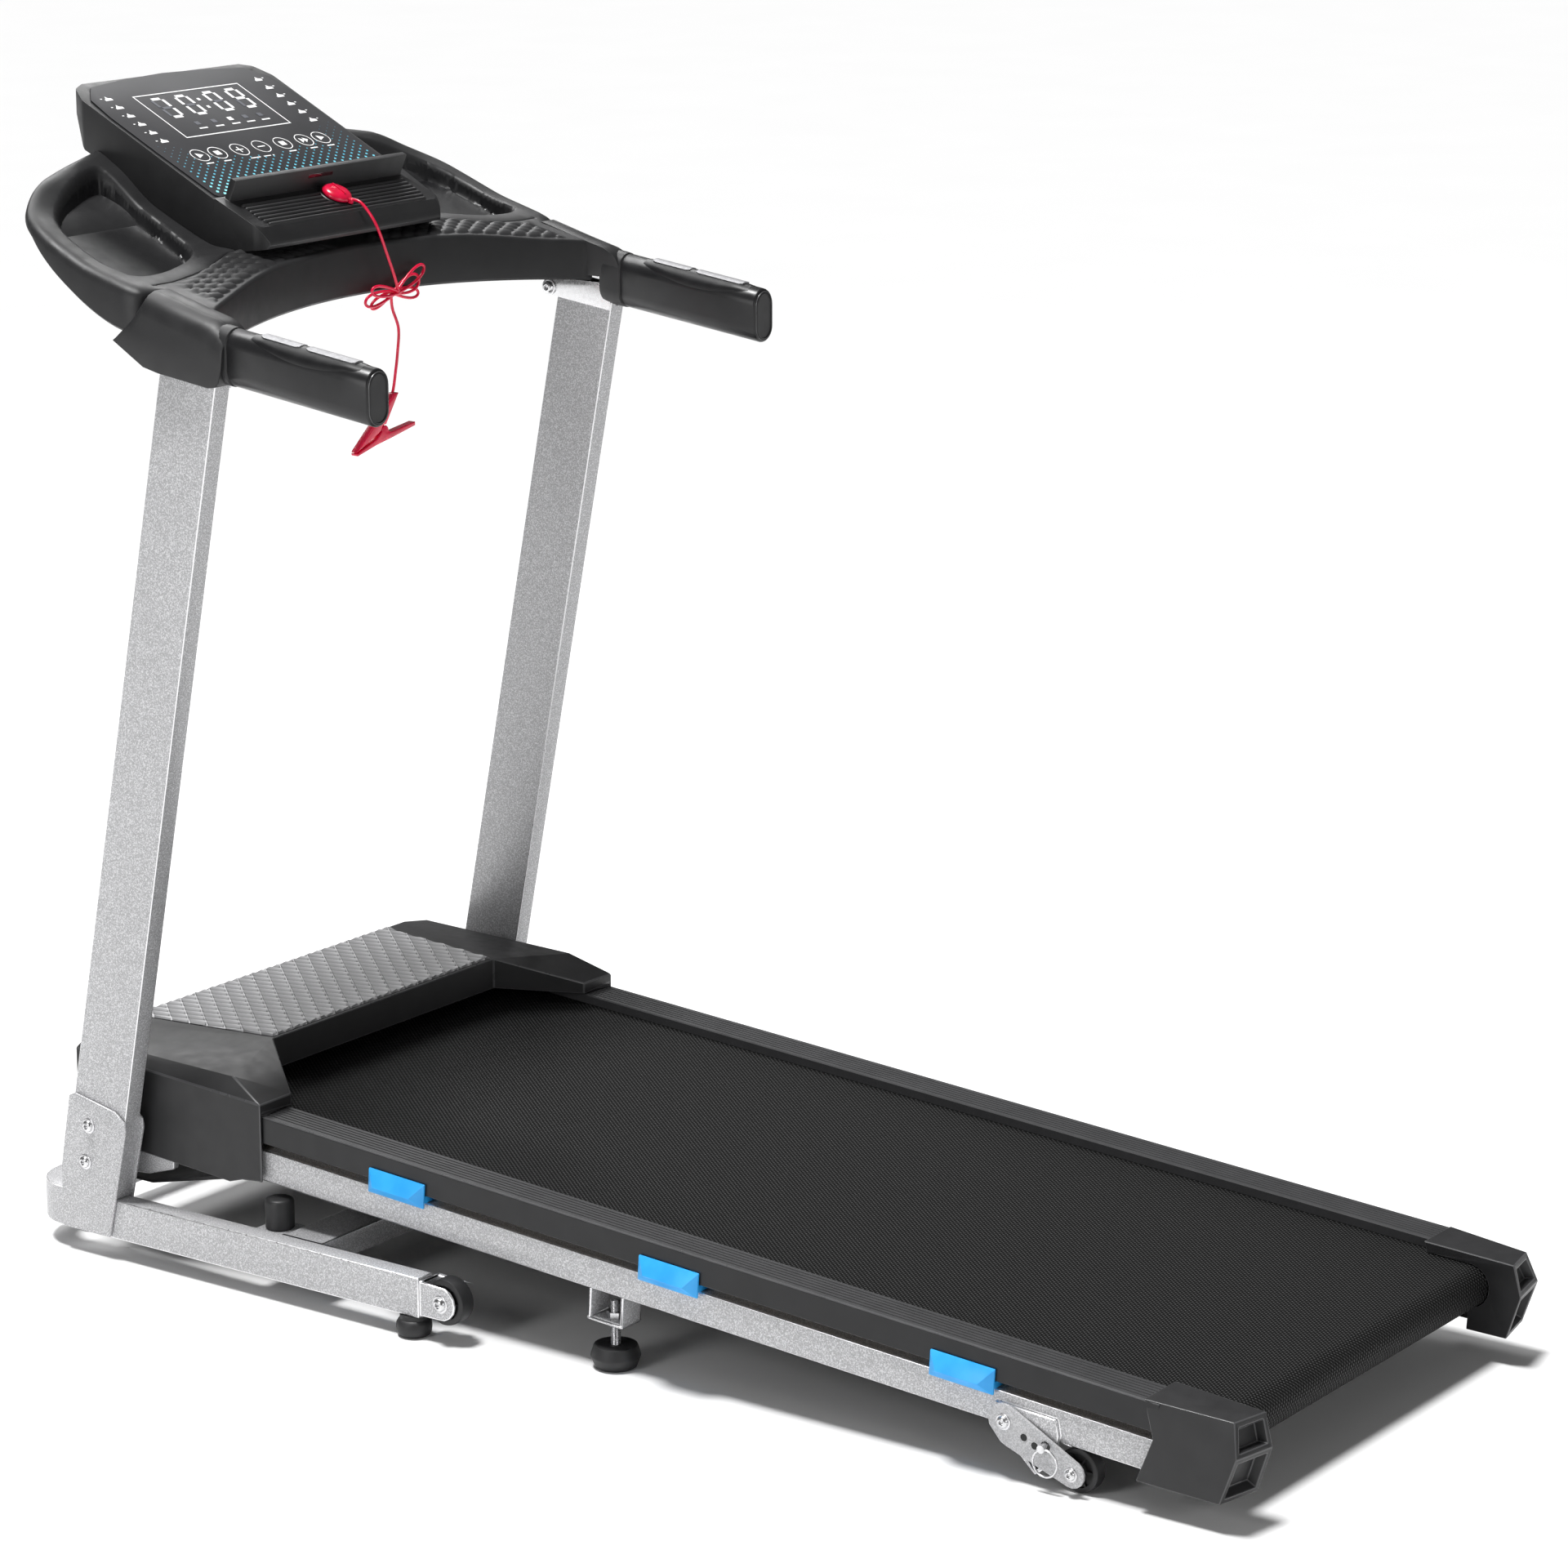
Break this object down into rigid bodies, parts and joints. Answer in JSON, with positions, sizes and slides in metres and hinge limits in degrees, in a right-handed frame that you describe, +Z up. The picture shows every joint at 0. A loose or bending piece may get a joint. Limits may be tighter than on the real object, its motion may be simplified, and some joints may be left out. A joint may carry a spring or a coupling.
{
  "type": "folding treadmill",
  "caption": "Folding home treadmill with a cushioned running deck, leaning uprights, a wide console with hand grips, and a pull-out safety key on a cord.",
  "frame": {"origin": "on the floor, under the middle of the treadmill", "axes": "+Z up, +Y the way the walker faces, towards the console, +X the walker's right"},
  "size_m": [0.636, 1.4446, 1.1248],
  "materials": {
    "silver_paint": "silver powder coat with a fine sparkle",
    "black_plastic": "satin black moulded plastic",
    "grey_plastic": "dark grey moulded plastic",
    "rubber": "matt black rubber",
    "belt_fabric": "black belt with a woven top",
    "blue_cushion": "sky blue elastomer",
    "red_plastic": "crimson",
    "steel": "zinc plated",
    "circuit": "green solder mask",
    "wood_board": "sealed fibreboard",
    "overlay": "dark printed film",
    "panel_grey": "silver grey with a raised lozenge pattern"
  },
  "bodies": {
    "base": {"base_frame": "silver_paint", "upright_socket_left": "silver_paint", "upright_socket_right": "silver_paint", "upright_left": "silver_paint", "upright_right": "silver_paint", "base_foot_rear_left": "rubber", "base_foot_rear_right": "rubber", "base_foot_front_left": "rubber", "base_foot_front_right": "rubber", "console_lower_shell": "black_plastic", "console_upper_shell": "black_plastic", "display_housing": "black_plastic", "touch_overlay": "overlay", "control_board": "circuit", "side_cover_left": "black_plastic", "side_cover_right": "black_plastic", "handlebar_frame": "steel", "grip_left": "rubber", "grip_right": "rubber", "key_seat": "black_plastic"},
    "key_and_clip": {"safety_key": "red_plastic", "key_cord_upper": "red_plastic", "key_cord_bow": "red_plastic", "key_cord_lower": "red_plastic", "clip_back_jaw": "red_plastic"},
    "clip_jaw": {"clip_front_jaw": "red_plastic"},
    "deck": {"deck_frame": "silver_paint", "running_board": "wood_board", "walking_belt": "belt_fabric", "foot_rail_left": "grey_plastic", "foot_rail_right": "grey_plastic", "cushion_left_1": "blue_cushion", "cushion_left_2": "blue_cushion", "cushion_left_3": "blue_cushion", "cushion_right_1": "blue_cushion", "cushion_right_2": "blue_cushion", "cushion_right_3": "blue_cushion", "rear_cap_left": "black_plastic", "rear_cap_right": "black_plastic", "motor_hood": "black_plastic", "hood_panel": "panel_grey", "motor_pan": "black_plastic", "motor": "steel", "drive_belt": "rubber"},
    "front_roller": {"front_roller": "steel"},
    "rear_roller": {"rear_roller": "steel"},
    "motor_rotor": {"motor_pulley": "steel"},
    "strut_cylinder": {"gas_cylinder": "black_plastic"},
    "strut_rod": {"gas_rod": "steel"},
    "switch": {"power_switch": "red_plastic"},
    "transport_wheel_left": {"transport_wheel_left": "rubber"},
    "levelling_foot_left": {"levelling_foot_left": "rubber"},
    "incline_leg_left": {"incline_leg_left": "steel"},
    "incline_wheel_left": {"incline_wheel_left": "rubber"},
    "ring_pin_left": {"ring_pin_left": "steel"},
    "transport_wheel_right": {"transport_wheel_right": "rubber"},
    "levelling_foot_right": {"levelling_foot_right": "rubber"},
    "incline_leg_right": {"incline_leg_right": "steel"},
    "incline_wheel_right": {"incline_wheel_right": "rubber"},
    "ring_pin_right": {"ring_pin_right": "steel"}
  },
  "joints": [
    {"name": "deck_fold", "type": "hinge", "parent": "base", "child": "deck", "pos_m": [0, 0.5683, 0.088], "axis": [-1, 0, 0], "range_deg": [0, 70]},
    {"name": "strut_turn", "type": "hinge", "parent": "base", "child": "strut_cylinder", "pos_m": [0, 0.3633, 0.085], "axis": [-1, 0, 0], "range_deg": [0, 89]},
    {"name": "strut_slide", "type": "slide", "parent": "strut_cylinder", "child": "strut_rod", "axis": [0, -0.999, -0.0456], "range_m": [0, 0.161]},
    {"name": "front_roller_spin", "type": "hinge", "parent": "deck", "child": "front_roller", "pos_m": [0, 0.4743, 0.1445], "axis": [1, 0, 0], "continuous": true},
    {"name": "rear_roller_spin", "type": "hinge", "parent": "deck", "child": "rear_roller", "pos_m": [0, -0.6678, 0.07038], "axis": [1, 0, 0], "continuous": true},
    {"name": "motor_spin", "type": "hinge", "parent": "deck", "child": "motor_rotor", "pos_m": [-0.22, 0.5653, 0.15], "axis": [1, 0, 0], "continuous": true},
    {"name": "key_pull", "type": "slide", "parent": "base", "child": "key_and_clip", "axis": [0, -0.4451, 0.8955], "range_m": [0, 0.03]},
    {"name": "clip_squeeze", "type": "hinge", "parent": "key_and_clip", "child": "clip_jaw", "pos_m": [0.017, 0.4533, 0.7885], "axis": [0, -1, 0], "range_deg": [0, 16], "stiffness_Nm_per_rad": 0.02, "springref_deg": -17.19},
    {"name": "switch_rock", "type": "hinge", "parent": "deck", "child": "switch", "pos_m": [-0.13, 0.6113, 0.15], "axis": [1, 0, 0], "range_deg": [0, 10]},
    {"name": "transport_wheel_spin_left", "type": "hinge", "parent": "base", "child": "transport_wheel_left", "pos_m": [-0.294, 0.1273, 0.04], "axis": [1, 0, 0], "continuous": true},
    {"name": "level_adjust_left", "type": "slide", "parent": "deck", "child": "levelling_foot_left", "axis": [0, 0, 1], "range_m": [-0.012, 0]},
    {"name": "incline_swing_left", "type": "hinge", "parent": "deck", "child": "incline_leg_left", "pos_m": [-0.2767, -0.4827, 0.0535], "axis": [1, 0, 0], "range_deg": [0, 30]},
    {"name": "incline_wheel_spin_left", "type": "hinge", "parent": "incline_leg_left", "child": "incline_wheel_left", "pos_m": [-0.2607, -0.5527, 0.0205], "axis": [1, 0, 0], "continuous": true},
    {"name": "ring_pull_left", "type": "slide", "parent": "incline_leg_left", "child": "ring_pin_left", "axis": [-1, 0, 0], "range_m": [0, 0.01], "stiffness_N_per_m": 200, "springref_m": -0.01},
    {"name": "transport_wheel_spin_right", "type": "hinge", "parent": "base", "child": "transport_wheel_right", "pos_m": [0.294, 0.1273, 0.04], "axis": [1, 0, 0], "continuous": true},
    {"name": "level_adjust_right", "type": "slide", "parent": "deck", "child": "levelling_foot_right", "axis": [0, 0, 1], "range_m": [-0.012, 0]},
    {"name": "incline_swing_right", "type": "hinge", "parent": "deck", "child": "incline_leg_right", "pos_m": [0.2767, -0.4827, 0.0535], "axis": [1, 0, 0], "range_deg": [0, 30]},
    {"name": "incline_wheel_spin_right", "type": "hinge", "parent": "incline_leg_right", "child": "incline_wheel_right", "pos_m": [0.2607, -0.5527, 0.0205], "axis": [1, 0, 0], "continuous": true},
    {"name": "ring_pull_right", "type": "slide", "parent": "incline_leg_right", "child": "ring_pin_right", "axis": [1, 0, 0], "range_m": [0, 0.01], "stiffness_N_per_m": 200, "springref_m": -0.01}
  ],
  "couplings": [
    {"joint": "strut_turn", "follows": "deck_fold", "ratio": 1.2637},
    {"joint": "strut_slide", "follows": "deck_fold", "m_per_rad": 0.13165},
    {"joint": "rear_roller_spin", "follows": "front_roller_spin", "ratio": 1},
    {"joint": "motor_spin", "follows": "front_roller_spin", "ratio": 1.7333}
  ]
}
